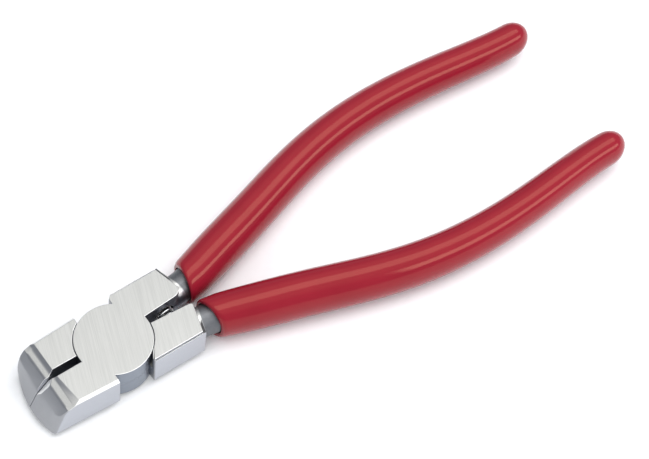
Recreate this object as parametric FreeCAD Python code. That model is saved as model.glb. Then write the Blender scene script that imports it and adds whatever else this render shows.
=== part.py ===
import FreeCAD, Part
import math
import os

# Lap-joint pliers with a blunt nipper nose. Millimetres, +Z up.
# The origin is on the pivot's axis, on the head's flat underside. The handles run
# towards +X and the jaws towards -X. The upper half has its disc on top, its jaw on
# the -Y side and its handle on the +Y side. The lower half is the other way round.

# ---------------------------------------------------------------- driving dimensions
# Head
head_thickness = 10.2
disc_radius = 9.65
lap_gap = 0.06             # between the two discs' meeting faces
socket_gap = 0.12          # round each disc, to the other half's hollow
shoulder_setback = 4.85    # from the pivot's axis forward to the jaws' rear shoulders
jaw_half_width = 10.45     # at the shoulders
jaw_taper_deg = 2.8        # each side, towards the nose
jaw_bevel = 0.7
seam_gap = 0.08            # between the closed jaws

# Nose
nose_reach = 23.8          # from the pivot's axis to the lower front edge
front_lean_deg = 24.0      # the front face leans back by this much
lower_front_radius = 25.0  # the front face's bow in plan, along its lower edge
middle_front_radius = 107.0  # half-way up
upper_front_radius = 500.0
front_bow_shift = -2.0     # the bow's middle lies this far to the -Y side
upper_nose_corner_radius = 1.5  # on the upper half's jaw
lower_nose_corner_radius = 0.8
flat_end = 16.4            # the top flat's front end, from the pivot's axis
flat_end_skew = 1.2        # less than that at the upper half jaw's outer side
wall_run = 0.9
wall_drop = 0.8
shelf_run = 1.6
shelf_drop = 0.6
brow_slope_deg = 51.0      # the steep band between the shelf and the front face

# Slots between the halves
front_slot_width = 1.9     # where the slot meets the disc
front_slot_flare = 0.1     # wider by this much at its front
mouth_length = 2.0         # the stretch in which the front slot closes to the seam
rear_slot_width = 2.2
rear_slot_rear_width = 3.3

# Notch cut along the seam into the nose
notch_slope_deg = 46.6
notch_drop = 2.1           # its bottom line lies this far under the top flat at the seam's start
notch_depth = 0.9
upper_notch_width = 1.9    # on the upper half's jaw
lower_notch_width = 0.5

# Rear blocks, which carry the handles
block_front = 4.9
block_length = 17.2        # along the slot
block_rear_lean_deg = 16.0
upper_block_half_width = 10.85
lower_block_half_width = 10.35
upper_block_corner_cut = 1.1
lower_block_corner_cut = 0.25
block_bevel = 0.4          # along its outer side
block_rear_bevel = 0.8
upper_block_inner_radius = 3.0
lower_block_inner_radius = 1.6
horn_cut_width = 1.0       # flat across the thin horn in front of each block's hollow
horn_cut_depth = 1.2

# Pivot rivet
rivet_radius = 3.0
rivet_head_radius = 4.0
rivet_gap = 0.04           # all round, in the lower half

# Return spring, across the rear slot
spring_diameter = 5.0
spring_wire = 0.6
spring_pitch = 1.15
spring_from_pivot = 15.4
pocket_depth = 3.2
pocket_gap = 0.25          # round the spring
spring_end_gap = 0.05

# Handles: each centre line runs from inside the block to the grip's end
handle_root = 18.0         # from the pivot's axis
handle_reach = 142.7
handle_spread = 22.9       # the centre line's widest distance from the middle
handle_shape = [           # shares of the run from root to reach, and of the spread
    (0.0, 0.24),
    (0.07, 0.283),
    (0.125, 0.37),
    (0.25, 0.58),
    (0.35, 0.757),
    (0.465, 0.918),
    (0.58, 0.996),
    (0.70, 0.996),
    (0.82, 0.94),
    (0.935, 0.89),
    (1.0, 0.90),
]
tang_half_width = 3.9      # at the block
tang_half_height = 4.5
tang_end_half_width = 2.4
tang_end_gap = 9.0         # from the tang's end to the grip's end

# Grips, sleeves dipped over the tangs
grip_front = 23.0          # from the pivot's axis, on the tool's middle line
grip_front_skew_deg = 8.0  # the front leans back outwards by this much
grip_half_width = 5.6
grip_front_waist = 0.55    # slimmer by this much at the very front
grip_waist_length = 24.0
grip_end_half_width = 4.15
grip_taper_power = 1.5     # 1 is an even taper, more keeps the front full
grip_height_ratio = 1.25   # height over width
rim_radius = 1.5
grip_end_length = 4.6      # the rounded end
grip_meet_gap = 0.3        # between the closed grips, where they meet at the front

# Sections that the handles are lofted through
tang_sections = 10
grip_sections = 12
end_angles = (0, 25, 45, 62, 76)    # degrees round the grip's rounded end

# ---------------------------------------------------------------- derived sizes
V = FreeCAD.Vector
lap = head_thickness / 2
overcut = 1.0              # how far a cutting shape runs past what it cuts
side_run = math.tan(math.radians(jaw_taper_deg))
lean_run = math.tan(math.radians(front_lean_deg))
wall_foot = flat_end + wall_run
shelf_front = wall_foot + shelf_run
shelf_height = head_thickness - wall_drop - shelf_drop
seam_start = flat_end + mouth_length
spring_length = rear_slot_width + 2 * pocket_depth


# ---------------------------------------------------------------- shared shapes
def prism(points, low, high):
    """A plan outline pulled up from low to high."""
    corners = [V(x, y, low) for x, y in points]
    return Part.Face(Part.makePolygon(corners + corners[:1])).extrude(V(0, 0, high - low))


def cylinder(radius, low, high):
    return Part.makeCylinder(radius, high - low, V(0, 0, low))


def edges_at(solid, test):
    return [edge for edge in solid.Edges if test(edge.CenterOfMass)]


def bevel(solid, start, end, size, top):
    """Bevels the top or bottom edge from start to end, given in plan with the outside on its right."""
    along = V(*end, 0) - V(*start, 0)
    outward = V(along.y, -along.x, 0).normalize() * size
    up = V(0, 0, size if top else -size)
    corner = V(*start, head_thickness if top else 0)
    triangle = [corner + outward + up, corner - outward * 2 + up, corner + outward - up * 2]
    return solid.cut(Part.Face(Part.makePolygon(triangle + triangle[:1])).extrude(along))


# ---------------------------------------------------------------- jaws
def jaw_side(x):
    """Half the head's width at x, along the jaws."""
    return jaw_half_width + (x + shoulder_setback) * side_run


def nose_outline(height, bow_radius):
    """The nose's plan outline at one height, with sharp corners."""
    front = -nose_reach + height * lean_run
    centre = front + bow_radius
    ends = []
    for side in (-1, 1):
        x = front
        for _ in range(8):     # closes in on where the bow meets the side
            y = side * jaw_side(x)
            x = centre - math.sqrt(bow_radius**2 - (y - front_bow_shift) ** 2)
        ends.append(V(x, y, height))
    middle = V(front, front_bow_shift, height)
    rear = [V(0, side * jaw_side(0), height) for side in (1, -1)]
    bow = Part.Arc(ends[0], middle, ends[1]).toShape()
    sides = Part.makePolygon([ends[1], *rear, ends[0]])
    return Part.Wire([bow, *sides.Edges])


def nose_profile(y, end_of_flat):
    """The steps down the front of the nose, seen from the side, as a section at y."""
    brow_foot = shelf_front + shelf_height / math.tan(math.radians(brow_slope_deg))
    points = [
        (0, 0),
        (0, head_thickness),
        (-end_of_flat, head_thickness),
        (-wall_foot, head_thickness - wall_drop),
        (-shelf_front, shelf_height),
        (-brow_foot, 0),
        (0, 0),
    ]
    return Part.makePolygon([V(x, y, z) for x, z in points])


def make_nose():
    """Both jaws in one, before the seam and the slot part them."""
    outlines = [
        nose_outline(0, lower_front_radius),
        nose_outline(lap, middle_front_radius),
        nose_outline(head_thickness, upper_front_radius),
    ]
    body = Part.makeLoft(outlines, True)
    for side, radius in ((-1, upper_nose_corner_radius), (1, lower_nose_corner_radius)):
        corner = edges_at(body, lambda c: c.x < -flat_end and side * c.y > lap and abs(c.z - lap) < lap / 2)
        body = body.makeFillet(radius, corner)
    side = jaw_half_width + overcut
    middle = nose_profile(0, flat_end)
    upper_side = Part.makeLoft([middle, nose_profile(-side, flat_end - flat_end_skew)], True, True)
    lower_side = Part.makeLoft([middle, nose_profile(side, flat_end)], True, True)
    body = body.common(upper_side.fuse(lower_side))
    return body.cut(make_notch())


def make_notch():
    """A three-sided groove that runs down the seam, over the nose."""
    slope = math.radians(notch_slope_deg)
    down = V(-math.cos(slope), 0, -math.sin(slope))
    out = V(-math.sin(slope), 0, math.cos(slope))
    start = V(-seam_start, 0, head_thickness - notch_drop) - down * mouth_length
    rise = head_thickness / notch_depth     # carries the walls well past the surface
    points = [
        start,
        start + (out * notch_depth - V(0, upper_notch_width, 0)) * rise,
        start + (out * notch_depth + V(0, lower_notch_width, 0)) * rise,
    ]
    return Part.Face(Part.makePolygon(points + points[:1])).extrude(down * nose_reach)


def make_jaw(nose, side):
    """One jaw. The slot behind its seam ends at the disc's edge."""
    slot = front_slot_width / 2
    outline = [
        (-nose_reach - overcut, seam_gap / 2),
        (-seam_start, seam_gap / 2),
        (-seam_start + mouth_length, slot + front_slot_flare / 2),
        (-disc_radius, slot),
        (-shoulder_setback, slot),
        (-shoulder_setback, jaw_half_width + overcut),
        (-nose_reach - overcut, jaw_half_width + overcut),
    ]
    jaw = nose.common(prism([(x, side * y) for x, y in outline], 0, head_thickness))
    ends = [(x, side * jaw_side(x)) for x in (-nose_reach - overcut, 0)]
    if side > 0:
        ends.reverse()
    return bevel(bevel(jaw, *ends, jaw_bevel, True), *ends, jaw_bevel / 2, False)


# ---------------------------------------------------------------- rear blocks
def rear_slot(x):
    """Half the rear slot's width at x."""
    share = (x - disc_radius) / (handle_root - disc_radius)
    return (rear_slot_width + share * (rear_slot_rear_width - rear_slot_width)) / 2


def make_block(side, half_width, corner_cut, inner_radius):
    """The full-height block between the disc and the handle."""
    rear = block_front + block_length
    lean = math.tan(math.radians(block_rear_lean_deg))
    rear_outer = rear - (half_width - rear_slot(rear)) * lean
    outline = [
        (block_front, rear_slot(disc_radius)),
        (disc_radius, rear_slot(disc_radius)),
        (rear, rear_slot(rear)),
        (rear_outer, half_width),
        (block_front + corner_cut, half_width),
        (block_front, half_width - corner_cut),
    ]
    points = [(x, side * y) for x, y in outline]
    block = prism(points, 0, head_thickness)
    inner = edges_at(block, lambda c: abs(c.x - rear) < 0.01 and abs(c.z - lap) < 0.01)
    block = block.makeFillet(inner_radius, inner)
    for top in (True, False):
        for start, end, size in (
            (points[3], points[4], block_bevel),
            (points[2], points[3], block_rear_bevel),
        ):
            ends = (start, end) if side < 0 else (end, start)
            block = bevel(block, *ends, size, top)
    return block


# ---------------------------------------------------------------- handles
def handle_line(side):
    run = handle_reach - handle_root
    points = [V(handle_root + a * run, side * b * handle_spread, lap) for a, b in handle_shape]
    curve = Part.BSplineCurve()
    curve.interpolate(points)
    return curve


def section(curve, x, half_width, half_height):
    """An ellipse square to the handle's centre line, where that line reaches x."""
    low, high = curve.FirstParameter, curve.LastParameter
    for _ in range(40):        # halves the stretch that holds x each time
        middle = (low + high) / 2
        low, high = (middle, high) if curve.value(middle).x < x else (low, middle)
    centre = curve.value(middle)
    along = V(*curve.tangent(middle)[0])
    across = V(-along.y, along.x, 0)
    top = centre + V(0, 0, half_height)
    return Part.Wire(Part.Ellipse(top, centre + across * half_width, centre).toShape())


def grip_half_width_at(x):
    share = max(0, (x - grip_front) / (handle_reach - grip_front))
    taper = (grip_half_width - grip_end_half_width) * share**grip_taper_power
    waist = grip_front_waist * max(0, 1 - (x - grip_front) / grip_waist_length) ** 2
    return grip_half_width - taper - waist


def make_tang(side):
    """The forged handle, from inside the block to inside the grip."""
    curve = handle_line(side)
    end = handle_reach - tang_end_gap
    wires = []
    for i in range(tang_sections + 1):
        share = i / tang_sections
        x = handle_root + share * (end - handle_root)
        width = tang_half_width + share * (tang_end_half_width - tang_half_width)
        wires.append(section(curve, x, width, width * tang_half_height / tang_half_width))
    return Part.makeLoft(wires, True)


def make_grip(side, tang):
    """The dipped sleeve: a rounded front rim, a long tapering body and a rounded end."""
    curve = handle_line(side)

    def outer(x, share=1.0):
        width = grip_half_width_at(x) * share
        return section(curve, x, width, width * grip_height_ratio)

    body_start = (handle_root + grip_front) / 2     # trimmed back to the front below
    body_end = handle_reach - grip_end_length
    step = (body_end - body_start) / grip_sections
    body = [outer(body_start + step * i) for i in range(grip_sections + 1)]
    end = []
    for degrees in end_angles:
        angle = math.radians(degrees)
        end.append(outer(body_end + grip_end_length * math.sin(angle), share=math.cos(angle)))
    grip = Part.makeLoft(body, True).fuse(Part.makeLoft(end, True))
    outer_side = 2 * handle_spread
    outer_front = grip_front + outer_side * math.tan(math.radians(grip_front_skew_deg))
    outline = [
        (grip_front, grip_meet_gap / 2),
        (handle_reach + overcut, grip_meet_gap / 2),
        (handle_reach + overcut, outer_side),
        (outer_front, outer_side),
    ]
    room = prism([(x, side * y) for x, y in outline], -head_thickness, 2 * head_thickness)
    grip = grip.common(room)
    rim = edges_at(grip, lambda c: c.x < grip_front + rim_radius)
    return grip.makeFillet(rim_radius, rim).cut(tang)


# ---------------------------------------------------------------- halves and rivet
def rivet_shape(gap):
    """A countersunk rivet through both discs, ground flush, larger all round by the gap."""
    head = rivet_head_radius - rivet_radius
    shank = cylinder(rivet_radius + gap, 0, head_thickness)
    lower = Part.makeCone(rivet_head_radius + gap, rivet_radius + gap, head)
    upper = Part.makeCone(rivet_radius + gap, rivet_head_radius + gap, head, V(0, 0, head_thickness - head))
    return shank.fuse([lower, upper])


def make_half(nose, jaw, block_sizes, disc, hollow, gap):
    """One forged half. Its jaw is on one side, and its block and handle are on the other."""
    body = make_jaw(nose, jaw)
    body = body.fuse([make_block(-jaw, *block_sizes), cylinder(disc_radius, *disc)])
    tang = make_tang(-jaw)
    body = body.fuse(tang)
    body = body.cut(cylinder(disc_radius + socket_gap, *hollow))
    body = body.cut([horn_room(-jaw, *hollow), rivet_shape(gap), spring_room()])
    return body.removeSplitter(), tang


def horn_room(side, low, high):
    """What is cut off the horn between a block's front face and its hollow."""
    rear = block_front + horn_cut_depth
    front = block_front - horn_cut_depth
    hollow_radius = disc_radius + socket_gap
    width = math.sqrt(hollow_radius**2 - block_front**2) + horn_cut_width
    outline = [
        (front, width),
        (block_front, width),
        (rear, math.sqrt(hollow_radius**2 - rear**2)),
        (front, disc_radius / 2),
    ]
    return prism([(x, side * y) for x, y in outline], low, high)


def spring_room():
    radius = spring_diameter / 2 + pocket_gap
    start = V(spring_from_pivot, -spring_length / 2, lap)
    return Part.makeCylinder(radius, spring_length, start, V(0, 1, 0))


def make_spring():
    """A plain compression spring across the rear slot, with its ends ground flat."""
    length = spring_length - 2 * spring_end_gap
    radius = (spring_diameter - spring_wire) / 2
    helix = Part.Wire(Part.makeHelix(spring_pitch, length, radius))
    circle = Part.Wire(Part.makeCircle(spring_wire / 2, V(radius, 0, 0), V(0, 1, 0)))
    wire = helix.makePipeShell([circle], True, True)
    wire = wire.common(cylinder(spring_diameter, 0, length))
    wire.rotate(V(), V(1, 0, 0), -90)
    wire.translate(V(spring_from_pivot, -length / 2, lap))
    return wire


nose = make_nose()
upper_half, upper_tang = make_half(
    nose,
    -1,
    (upper_block_half_width, upper_block_corner_cut, upper_block_inner_radius),
    (lap + lap_gap / 2, head_thickness),
    (0, lap + lap_gap / 2),
    0,
)
lower_half, lower_tang = make_half(
    nose,
    1,
    (lower_block_half_width, lower_block_corner_cut, lower_block_inner_radius),
    (0, lap - lap_gap / 2),
    (lap - lap_gap / 2, head_thickness),
    rivet_gap,
)
parts = {
    "upper_half": upper_half,
    "lower_half": lower_half,
    "pivot_rivet": rivet_shape(0),
    "return_spring": make_spring(),
    "upper_grip": make_grip(1, upper_tang),
    "lower_grip": make_grip(-1, lower_tang),
}

os.makedirs("parts", exist_ok=True)
for name, shape in parts.items():
    solids = len(shape.Solids)
    print(name, "solids", solids, "valid", shape.isValid(), "volume", round(shape.Volume, 1))
    shape.exportStep(f"parts/{name}.step")
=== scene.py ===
import bmesh
import bpy
import math
from mathutils import Matrix, Quaternion, Vector


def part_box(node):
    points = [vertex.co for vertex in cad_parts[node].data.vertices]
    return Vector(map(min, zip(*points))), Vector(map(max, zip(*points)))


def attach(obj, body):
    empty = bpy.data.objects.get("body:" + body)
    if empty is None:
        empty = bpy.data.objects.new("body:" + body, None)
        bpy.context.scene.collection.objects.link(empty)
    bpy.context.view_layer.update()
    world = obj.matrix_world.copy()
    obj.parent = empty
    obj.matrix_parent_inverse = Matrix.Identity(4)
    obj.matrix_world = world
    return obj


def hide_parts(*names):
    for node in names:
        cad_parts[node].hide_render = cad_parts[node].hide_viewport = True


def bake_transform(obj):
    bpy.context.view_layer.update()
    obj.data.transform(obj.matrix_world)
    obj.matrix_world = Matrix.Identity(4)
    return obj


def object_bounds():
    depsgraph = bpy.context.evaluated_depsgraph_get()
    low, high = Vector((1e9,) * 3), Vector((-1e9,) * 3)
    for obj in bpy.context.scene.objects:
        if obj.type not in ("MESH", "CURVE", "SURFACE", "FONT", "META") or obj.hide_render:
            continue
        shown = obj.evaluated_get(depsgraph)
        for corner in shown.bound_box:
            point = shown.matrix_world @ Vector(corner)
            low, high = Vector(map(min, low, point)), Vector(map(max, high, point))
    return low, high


# Short-nosed lap-joint pliers with dipped grips, in metres.
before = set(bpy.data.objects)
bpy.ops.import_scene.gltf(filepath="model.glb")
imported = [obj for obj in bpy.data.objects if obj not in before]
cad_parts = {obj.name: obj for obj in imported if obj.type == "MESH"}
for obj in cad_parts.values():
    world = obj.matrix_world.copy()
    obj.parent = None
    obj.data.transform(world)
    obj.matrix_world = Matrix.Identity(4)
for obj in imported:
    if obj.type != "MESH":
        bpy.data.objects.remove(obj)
cad_low, cad_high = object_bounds()
mm = 0.001

# ---------------------------------------------------------------- camera
# It looks down on the tool from the near side, a little turned, with the nose at the lower left.
camera_azimuth = math.radians(-43.17)
camera_elevation = math.radians(58.59)
camera_roll = math.radians(8.76)
camera_distance = 561.3 * mm
camera_target = Vector((61.5, -1.02, 6.43)) * mm

camera = bpy.data.objects.new("camera", bpy.data.cameras.new("camera"))
camera.data.lens = 125.3
camera.data.sensor_width = 36
to_camera = Vector((
    math.sin(camera_azimuth) * math.cos(camera_elevation),
    -math.cos(camera_azimuth) * math.cos(camera_elevation),
    math.sin(camera_elevation),
))
camera.location = camera_target + to_camera * camera_distance
camera.rotation_mode = "QUATERNION"
camera.rotation_quaternion = (-to_camera).to_track_quat("-Z", "Y") @ Quaternion((0, 0, 1), camera_roll)
bpy.context.scene.collection.objects.link(camera)
bpy.context.scene.camera = camera

# ---------------------------------------------------------------- lower half
# One half of the tool: a forging in chrome-vanadium steel, with its disc, jaw, rear block and
# tang in one piece. Its faces are ground across the tool, and its shank is left as blasted.
edge_easing = 0.16 * mm        # what the last polish takes off a sharp edge
nose_easing = 0.45 * mm        # the steps down the nose are rounder
nose_steps_start = -16.9 * mm
nose_steps_reach = 8.3 * mm    # to each side, short of the nose's corners
nose_steps_foot = 8.2 * mm     # the step below this meets the nose's bow, and stays sharper
rivet_reach = 4.3 * mm         # nothing is eased nearer the pivot, where the rivet is ground flush
sharp_angle = math.radians(24)
step_angle = math.radians(12)
flat_angle = math.radians(0.5)
crease_angle = math.radians(40)
tiny_edge = 0.08 * mm
cut_snap = 0.01 * mm

grinding_line = 0.2 * mm       # real ones are finer, and drawn this wide to show
grinding_length = 14 * mm
grinding_slant = math.radians(-20)
grinding_depth = 0.003 * mm
haze_size = 9 * mm
blast_grain = 0.25 * mm
disc_wall_radius = 9.8 * mm    # just outside the disc
block_rear = 22.2 * mm         # where the blasted shank starts, at the slot
block_rear_lean = 0.287        # and how much nearer it starts for each step outwards
slot_wall_reach = 2.2 * mm     # the slots' walls are within this of the middle
seam_face_reach = 0.4 * mm     # and the jaws' meeting faces are within this
bevel_roughness = 0.48
shank_roughness = 0.52


def linear(colour):
    """The linear RGBA of an sRGB hex colour."""
    shares = [int(colour[i:i + 2], 16) / 255 for i in (1, 3, 5)]
    return [s / 12.92 if s <= 0.04045 else ((s + 0.055) / 1.055) ** 2.4 for s in shares] + [1]


def add(tree, kind, inputs, **settings):
    """Adds a shader node with its settings. An input is a value, or a socket to link from."""
    node = tree.nodes.new("ShaderNode" + kind)
    for name, value in settings.items():
        setattr(node, name, value)
    for name, value in inputs.items():
        if isinstance(value, bpy.types.NodeSocket):
            tree.links.new(value, node.inputs[name])
        else:
            node.inputs[name].default_value = value
    return node


def new_material(name):
    material = bpy.data.materials.new(name)
    material.use_nodes = True
    material.node_tree.nodes.clear()
    return material, material.node_tree


def make_forged_steel():
    # Chrome-vanadium steel. The two flats are ground, pale, with fine lines across the tool. The
    # sides are ground duller. Faces turned to the nose's end, and the disc's wall in its recess, are
    # painted greyer as painted shade. The shank is bead blasted, dark and even. The slots' walls are
    # painted darker as painted shade, and the bevels are painted near white as a painted highlight.
    material, tree = new_material("ground_chrome_vanadium_steel")
    at = add(tree, "TexCoord", {}).outputs
    place = add(tree, "SeparateXYZ", {0: at["Object"]}).outputs
    facing = add(tree, "SeparateXYZ", {0: at["Normal"]}).outputs
    off_middle = add(tree, "Math", {0: place["Y"]}, operation="ABSOLUTE").outputs[0]
    sideways = add(tree, "Math", {0: facing["Y"]}, operation="ABSOLUTE").outputs[0]
    upright = add(tree, "Math", {0: facing["Z"]}, operation="ABSOLUTE").outputs[0]
    in_plan = add(tree, "CombineXYZ", {"X": place["X"], "Y": place["Y"]}).outputs[0]
    from_pivot = add(tree, "VectorMath", {0: in_plan}, operation="LENGTH").outputs["Value"]
    along_tool = {0: off_middle, 1: block_rear_lean, 2: place["X"]}
    rearward = add(tree, "Math", along_tool, operation="MULTIPLY_ADD").outputs[0]

    # Each share is 0 at the first value and 1 at the second. The later ones multiply two others.
    shares = {}
    for name, value, none_at, full_at in (
        ("shank", rearward, block_rear + 0.2 * mm, block_rear + 0.7 * mm),
        ("head", rearward, block_rear, block_rear - 0.4 * mm),
        ("off_seam", off_middle, seam_face_reach / 2, seam_face_reach),
        ("near_slot", off_middle, slot_wall_reach, slot_wall_reach * 0.85),
        ("near_disc", from_pivot, disc_wall_radius + 0.15 * mm, disc_wall_radius),
        ("side", sideways, 0.6, 0.8),
        ("leaning", sideways, 0.2, 0.4),
        ("steep", upright, 0.6, 0.3),
        ("slanted", upright, 0.45, 0.6),
        ("flat", upright, 0.9, 0.98),
        # painted shade: every face turned towards the nose's end, block fronts too, is greyed
        ("nose", facing["X"], -0.35, -0.55),
    ):
        span = {"Value": value, "From Min": none_at, "From Max": full_at}
        shares[name] = add(tree, "MapRange", span, interpolation_type="SMOOTHSTEP").outputs["Result"]
    for name, first, second in (
        # painted shade: the steep faces inside the disc's radius, in the recess round the disc
        ("shaded_disc_wall", "steep", "near_disc"),
        ("edge", "slanted", "leaning"),
        # the bevels: a rougher finish, and a painted highlight in near white
        ("bevel", "edge", "head"),
        ("slot", "off_seam", "near_slot"),
        # painted shade: the slots' walls, darkened
        ("shaded_slot_wall", "slot", "side"),
    ):
        factors = {0: shares[first], 1: shares[second]}
        shares[name] = add(tree, "Math", factors, operation="MULTIPLY").outputs[0]

    lie = {"Vector": at["Object"], "Rotation": (0, 0, grinding_slant)}
    lie["Scale"] = (grinding_line, grinding_length, grinding_length)
    along = add(tree, "Mapping", lie, vector_type="TEXTURE").outputs[0]
    pattern = {"Vector": along, "Scale": 1.0, "Detail": 3.0, "Roughness": 0.65}
    lines = add(tree, "TexNoise", pattern).outputs["Fac"]
    pattern = {"Vector": at["Object"], "Scale": 1 / haze_size, "Detail": 2.0}
    haze = add(tree, "TexNoise", pattern).outputs["Fac"]
    pattern = {"Vector": at["Object"], "Scale": 1 / blast_grain, "Detail": 2.0}
    grain = add(tree, "TexNoise", pattern).outputs["Fac"]
    marks = add(tree, "Mix", {"Factor": shares["flat"], "A": grain, "B": lines}).outputs["Result"]

    hues = {"Factor": grain, "A": linear("#5E6063"), "B": linear("#828487")}
    blasted = add(tree, "Mix", hues, data_type="RGBA").outputs["Result"]
    hues = {"Factor": marks, "A": linear("#ADAEAC"), "B": linear("#D3D3D0")}
    colour = add(tree, "Mix", hues, data_type="RGBA").outputs["Result"]
    for name, finish in (
        ("side", linear("#B5B7BD")),
        # painted shade on the faces turned to the nose's end
        ("nose", linear("#9D9EA1")),
        # painted shade on the disc's wall
        ("shaded_disc_wall", linear("#878D97")),
        # painted highlight on the bevels
        ("bevel", linear("#F2F2F0")),
        # painted shade on the slots' walls
        ("shaded_slot_wall", linear("#8E909A")),
        ("shank", blasted),
    ):
        hues = {"Factor": shares[name], "A": colour, "B": finish}
        colour = add(tree, "Mix", hues, data_type="RGBA").outputs["Result"]

    spread = {"Value": marks, "From Min": 0.3, "From Max": 0.7, "To Min": 0.3, "To Max": 0.38}
    satin = add(tree, "MapRange", spread).outputs["Result"]
    roughness = add(tree, "Math", {0: haze, 1: 0.08, 2: satin}, operation="MULTIPLY_ADD").outputs[0]
    for name, finish in (("bevel", bevel_roughness), ("shank", shank_roughness)):
        blend = {"Factor": shares[name], "A": roughness, "B": finish}
        roughness = add(tree, "Mix", blend).outputs["Result"]
    height = add(tree, "Math", {0: marks, 1: shares["flat"]}, operation="MULTIPLY").outputs[0]
    relief = {"Height": height, "Strength": 0.6, "Distance": grinding_depth}
    relief = add(tree, "Bump", relief).outputs[0]
    finish = {"Base Color": colour, "Metallic": 1.0, "Roughness": roughness, "Normal": relief}
    shader = add(tree, "BsdfPrincipled", finish)
    add(tree, "OutputMaterial", {"Surface": shader.outputs[0]})
    return material


def new_piece(name, mesh, material):
    """A smooth-shaded object made of a bmesh, at the origin."""
    data = bpy.data.meshes.new(name)
    bmesh.ops.recalc_face_normals(mesh, faces=mesh.faces)
    mesh.to_mesh(data)
    mesh.free()
    data.shade_smooth()
    data.materials.append(material)
    piece = bpy.data.objects.new(name, data)
    bpy.context.scene.collection.objects.link(piece)
    return piece


def ease(mesh, edges, offset, segments):
    """Rounds edges off by a small width."""
    bmesh.ops.bevel(
        mesh,
        geom=edges,
        offset=offset,
        segments=segments,
        profile=0.5,
        affect="EDGES",
        material=-1,
        clamp_overlap=False,
    )


def make_forging(name, node):
    """A copy of a CAD half with its sharp edges eased."""
    low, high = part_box(node)
    lap = (low.z + high.z) / 2
    mesh = bmesh.new()
    mesh.from_mesh(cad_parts[node].data)
    bmesh.ops.remove_doubles(mesh, verts=mesh.verts, dist=tiny_edge)
    bmesh.ops.dissolve_limit(mesh, angle_limit=flat_angle, verts=mesh.verts, edges=mesh.edges)

    for y in (-nose_steps_reach, nose_steps_reach):
        faces = [face for face in mesh.faces if face.calc_center_median().x < nose_steps_start]
        edges = dict.fromkeys(edge for face in faces for edge in face.edges)
        verts = dict.fromkeys(vert for face in faces for vert in face.verts)
        nose = [*faces, *edges, *verts]
        bmesh.ops.bisect_plane(mesh, geom=nose, plane_co=(0, y, 0), plane_no=(0, 1, 0), dist=cut_snap)
    nose_steps = [
        edge
        for edge in mesh.edges
        if edge.calc_face_angle() > step_angle
        and max(v.co.x for v in edge.verts) < nose_steps_start
        and max(abs(v.co.y) for v in edge.verts) < nose_steps_reach + tiny_edge
        and min(v.co.z for v in edge.verts) > nose_steps_foot
        and abs(edge.verts[0].co.y - edge.verts[1].co.y) > 0.7 * edge.calc_length()
    ]
    ease(mesh, nose_steps, nose_easing, 4)
    sharp = [
        edge
        for edge in mesh.edges
        if edge.is_convex
        and edge.calc_face_angle() > sharp_angle
        and min(v.co.xy.length for v in edge.verts) > rivet_reach
        and max(abs(v.co.z - lap) for v in edge.verts) > edge_easing
    ]
    ease(mesh, sharp, edge_easing, 3)
    for edge in mesh.edges:
        edge.smooth = edge.calc_face_angle() < crease_angle
    piece = new_piece(name, mesh, forged_steel)
    weighted = piece.modifiers.new("even_shading", "WEIGHTED_NORMAL")
    weighted.keep_sharp = True
    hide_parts(node)
    return piece


forged_steel = make_forged_steel()
lower_forging = make_forging("lower_forging", "lower_half")
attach(lower_forging, "lower")

# ---------------------------------------------------------------- pivot rivet
# A steel rivet through both discs. It is set while soft, then ground flush with the halves,
# so its ends carry the same lines as the faces round them.
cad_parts["pivot_rivet"].material_slots[0].material = forged_steel

# ---------------------------------------------------------------- upper half
# The other forging, laid over the lower one. Its disc turns on the lower disc, and its jaw and
# handle are on the opposite sides.
upper_forging = make_forging("upper_forging", "upper_half")
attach(upper_forging, "upper")

# ---------------------------------------------------------------- return spring
# A small compression spring in bright drawn wire. Its closed end turns sit in a blind pocket in
# each rear block, and it pushes the handles apart.
wire_radius = 0.3 * mm
closed_turns = 1
open_turns = 6
closed_pitch = 2.05 * wire_radius
wire_streak = 0.4 * mm
wire_sides = 14
steps_per_turn = 32
spring_low, spring_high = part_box("return_spring")
spring_middle = (spring_low + spring_high) / 2
coil_radius = (spring_high.z - spring_low.z) / 2 - wire_radius
open_length = spring_high.y - spring_low.y - 2 * wire_radius - 2 * closed_turns * closed_pitch
open_pitch = open_length / open_turns


def make_spring_wire():
    # Drawn spring steel: bright and smooth, with faint streaks from the die.
    material, tree = new_material("bright_drawn_spring_steel")
    at = add(tree, "TexCoord", {}).outputs["Object"]
    pattern = {"Vector": at, "Scale": 1 / wire_streak, "Detail": 2.0}
    streaks = add(tree, "TexNoise", pattern).outputs["Fac"]
    hues = {"Factor": streaks, "A": linear("#C9CACC"), "B": linear("#E4E4E2")}
    colour = add(tree, "Mix", hues, data_type="RGBA").outputs["Result"]
    sheen = add(tree, "MapRange", {"Value": streaks, "To Min": 0.16, "To Max": 0.28}).outputs["Result"]
    finish = {"Base Color": colour, "Metallic": 1.0, "Roughness": sheen}
    shader = add(tree, "BsdfPrincipled", finish)
    add(tree, "OutputMaterial", {"Surface": shader.outputs[0]})
    return material


mesh = bmesh.new()
start = Vector((spring_middle.x + coil_radius, spring_low.y + wire_radius, spring_middle.z))
place = Matrix.Translation(start)
bmesh.ops.create_circle(mesh, segments=wire_sides, radius=wire_radius, matrix=place)
end = list(mesh.verts) + list(mesh.edges)
closed = (closed_turns, closed_pitch)
for turns, pitch in (closed, (open_turns, open_pitch), closed):
    end = bmesh.ops.spin(
        mesh,
        geom=end,
        cent=spring_middle,
        axis=(0, 1, 0),
        dvec=(0, pitch / steps_per_turn, 0),
        angle=math.tau * turns,
        steps=round(steps_per_turn * turns),
    )["geom_last"]
bmesh.ops.holes_fill(mesh, edges=[edge for edge in mesh.edges if edge.is_boundary])
spring = new_piece("return_spring_coil", mesh, make_spring_wire())
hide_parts("return_spring")
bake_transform(spring)

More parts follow.
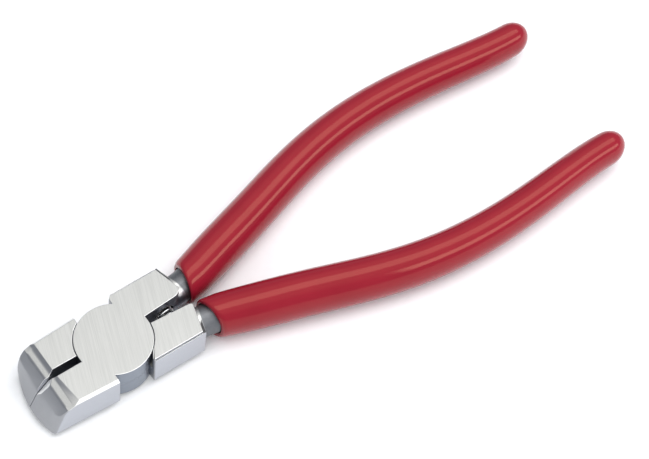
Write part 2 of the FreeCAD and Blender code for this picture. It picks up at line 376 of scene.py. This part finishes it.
# ---------------------------------------------------------------- grips
# Sleeves of soft red PVC, dipped over the tangs. The dip leaves an even glossy coat, a rolled
# lip at the front round a narrow dark mouth, and a rounded end.
grip_sides = 72
grip_stations = 44
turning_stations = 7           # from the slanted front until the sections are square to the grip
front_slant = math.radians(8)
lip_length = 1.5 * mm
lip_inset = 0.7 * mm
mouth_gap = 0.3 * mm           # between the sleeve's mouth and the shank
mouth_rounding = 0.12 * mm
mouth_depth = 5 * mm
end_length = 4.6 * mm
end_margin = 1 * mm            # the last square section stands this far before the rounded end
ripple_size = 6 * mm
ripple_depth = 0.05 * mm
peel_size = 0.5 * mm
peel_depth = 0.004 * mm


def make_dipped_pvc():
    # Plasticised PVC: a saturated red under a smooth gloss, with a slow ripple left by the dip
    # and a finer peel that softens the edges of its highlights.
    material, tree = new_material("dipped_red_pvc")
    at = add(tree, "TexCoord", {}).outputs["Object"]
    pattern = {"Vector": at, "Scale": 1 / ripple_size, "Detail": 1.0}
    ripple = add(tree, "TexNoise", pattern).outputs["Fac"]
    pattern = {"Vector": at, "Scale": 1 / peel_size, "Detail": 2.0}
    peel = add(tree, "TexNoise", pattern).outputs["Fac"]
    hues = {"Factor": ripple, "A": linear("#891A2A"), "B": linear("#911D2E")}
    colour = add(tree, "Mix", hues, data_type="RGBA").outputs["Result"]
    gloss = add(tree, "MapRange", {"Value": peel, "To Min": 0.09, "To Max": 0.15}).outputs["Result"]
    relief = {"Height": ripple, "Strength": 0.3, "Distance": ripple_depth}
    relief = {"Normal": add(tree, "Bump", relief).outputs[0]}
    relief |= {"Height": peel, "Strength": 0.2, "Distance": peel_depth}
    relief = add(tree, "Bump", relief).outputs[0]
    finish = {"Base Color": colour, "Roughness": gloss, "IOR": 1.42, "Normal": relief}
    finish["Specular Tint"] = linear("#FFCCAA")
    shader = add(tree, "BsdfPrincipled", finish)
    add(tree, "OutputMaterial", {"Surface": shader.outputs[0]})
    return material


def measure(node, point, along):
    """Cuts a CAD solid square to a line, and gives the cut's middle, half width and half height."""
    mesh = bmesh.new()
    mesh.from_mesh(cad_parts[node].data)
    geometry = list(mesh.verts) + list(mesh.edges) + list(mesh.faces)
    cut = bmesh.ops.bisect_plane(mesh, geom=geometry, plane_co=point, plane_no=along)["geom_cut"]
    across = Vector((-along.y, along.x, 0)).normalized()
    points = [v.co.copy() for v in cut if isinstance(v, bmesh.types.BMVert)]
    mesh.free()
    offsets = [(p - point).dot(across) for p in points]
    heights = [p.z for p in points]
    middle = point + across * (max(offsets) + min(offsets)) / 2
    middle.z = (max(heights) + min(heights)) / 2
    return middle, (max(offsets) - min(offsets)) / 2, (max(heights) - min(heights)) / 2


def make_grip(name, node, half):
    low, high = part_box(node)
    side = math.copysign(1, low.y + high.y)
    front_facing = Vector((math.cos(front_slant), -side * math.sin(front_slant), 0))
    front = min(v.co.dot(front_facing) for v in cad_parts[node].data.vertices)
    first = front / front_facing.x + lip_length
    last = high.x - end_length - end_margin

    turns = [min(1, i / turning_stations) for i in range(grip_stations + 1)]
    rough = []
    for i, turn in enumerate(turns):
        point = Vector((first + (last - first) * i / grip_stations, 0, 0))
        rough.append(measure(node, point, front_facing.lerp(Vector((1, 0, 0)), turn).normalized())[0])
    body = []
    for i, turn in enumerate(turns):
        along = (rough[min(i + 1, grip_stations)] - rough[max(i - 1, 0)]).normalized()
        facing = front_facing.lerp(along, turn).normalized()
        body.append((facing, *measure(node, rough[i], facing)))

    def ring(section, shift, inset=0.0, share=1.0):
        """A section's place, from the unit circle: moved, thinned and scaled."""
        facing, middle, width, height = section
        across = Vector((-facing.y, facing.x, 0))
        columns = (across * (width - inset) * share, Vector((0, 0, (height - inset) * share)), facing)
        place = Matrix(columns).transposed().to_4x4()
        place.translation = middle + shift
        return place

    still = Vector((0, 0, 0))
    mouth, tip = body[0], body[-1]
    along = (body[1][1] - body[0][1]).normalized()
    along /= along.dot(front_facing)
    to_front = along * (front - mouth[1].dot(front_facing))
    bore_middle, bore_width, bore_height = measure(half, mouth[1] + to_front, front_facing)
    bore = (front_facing, bore_middle, bore_width + mouth_gap, bore_height + mouth_gap)
    rings = [ring(bore, along * mouth_depth)]
    for degrees in (0, 30, 60, 90):
        angle = math.radians(degrees)
        shift = mouth_rounding * (1 - math.sin(angle))
        rings.append(ring(bore, along * shift, -mouth_rounding * (1 - math.cos(angle))))
    for degrees in (0, 15, 30, 45, 60, 75):
        angle = math.radians(degrees)
        shift = lip_length * (1 - math.cos(angle))
        rings.append(ring(mouth, to_front + along * shift, lip_inset * (1 - math.sin(angle))))
    rings += [ring(section, still) for section in body]
    reach = (high.x - tip[1].x) / tip[0].x
    for degrees in (10, 20, 30, 40, 50, 60, 70, 80, 87):
        angle = math.radians(degrees)
        rings.append(ring(tip, tip[0] * reach * math.sin(angle), share=math.cos(angle)))

    mesh = bmesh.new()
    bmesh.ops.create_circle(mesh, cap_ends=True, segments=grip_sides, radius=1, matrix=rings[0])
    edges = list(mesh.edges)
    for before, after in zip(rings, rings[1:]):
        made = bmesh.ops.extrude_edge_only(mesh, edges=edges)["geom"]
        edges = [item for item in made if isinstance(item, bmesh.types.BMEdge) and item.is_boundary]
        verts = [item for item in made if isinstance(item, bmesh.types.BMVert)]
        bmesh.ops.transform(mesh, matrix=after @ before.inverted(), verts=verts)
    bmesh.ops.contextual_create(mesh, geom=edges)
    piece = new_piece(name, mesh, dipped_pvc)
    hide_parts(node)
    return piece


dipped_pvc = make_dipped_pvc()
upper_sleeve = make_grip("upper_grip_sleeve", "upper_grip", "upper_half")
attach(upper_sleeve, "upper")
lower_sleeve = make_grip("lower_grip_sleeve", "lower_grip", "lower_half")
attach(lower_sleeve, "lower")

# ---------------------------------------------------------------- floor and light
# A plain white board under a pale dome, with two softboxes along the tool: a broad one overhead,
# and a narrow one low on the near side that whitens the bevels and draws the line on the grips.
floor_half = 3.0
board_tooth = 2 * mm
softbox_distance = 0.8
horizon_top = 0.45             # the dome is grey up to this height, as a share of its radius
zenith_foot = 0.85             # and white from this on
bulk_middle = (cad_low + cad_high) / 2


def make_white_board():
    # Matt card: nearly white, with a faint tooth.
    material, tree = new_material("matt_white_board")
    at = add(tree, "TexCoord", {}).outputs["Object"]
    pattern = {"Vector": at, "Scale": 1 / board_tooth, "Detail": 2.0}
    tooth = add(tree, "TexNoise", pattern).outputs["Fac"]
    hues = {"Factor": tooth, "A": linear("#F4F5F7"), "B": linear("#FAFBFC")}
    colour = add(tree, "Mix", hues, data_type="RGBA").outputs["Result"]
    shader = add(tree, "BsdfPrincipled", {"Base Color": colour, "Roughness": 0.9})
    add(tree, "OutputMaterial", {"Surface": shader.outputs[0]})
    return material


mesh = bmesh.new()
place = Matrix.Translation((bulk_middle.x, 0, cad_low.z))
bmesh.ops.create_grid(mesh, x_segments=1, y_segments=1, size=floor_half, matrix=place)
floor = new_piece("floor", mesh, make_white_board())


def add_softbox(name, lean, start, length, width, radiance):
    """A softbox along the tool, leaning from overhead to the near side by that many degrees."""
    lamp = bpy.data.lights.new(name, "AREA")
    lamp.shape = "RECTANGLE"
    lamp.size, lamp.size_y = length, width
    lamp.energy = radiance * math.pi * length * width
    softbox = bpy.data.objects.new(name, lamp)
    angle = math.radians(lean)
    up = Vector((0, -math.sin(angle), math.cos(angle)))
    softbox.location = bulk_middle + Vector((start + length / 2, 0, 0)) + up * softbox_distance
    softbox.rotation_euler = (angle, 0, 0)
    softbox.visible_camera = False
    bpy.context.scene.collection.objects.link(softbox)


add_softbox("broad_softbox", lean=6, start=-0.4, length=1.5, width=0.48, radiance=2.4)
add_softbox("narrow_softbox", lean=62, start=0.08, length=1.0, width=0.25, radiance=4.6)

dome = bpy.data.worlds.new("pale_dome")
dome.use_nodes = True
tree = dome.node_tree
tree.nodes.clear()
towards = add(tree, "TexCoord", {}).outputs["Generated"]
height = add(tree, "SeparateXYZ", {0: towards}).outputs["Z"]
span = {"Value": height, "From Min": horizon_top, "From Max": zenith_foot}
rise = add(tree, "MapRange", span, interpolation_type="SMOOTHSTEP").outputs["Result"]
hues = {"Factor": rise, "A": linear("#A4A8B0"), "B": linear("#FFFFFF")}
sky = add(tree, "Mix", hues, data_type="RGBA").outputs["Result"]
glow = add(tree, "Background", {"Color": sky, "Strength": 1.08})
add(tree, "OutputWorld", {"Surface": glow.outputs[0]})
bpy.context.scene.world = dome
bpy.context.scene.view_settings.view_transform = "Standard"
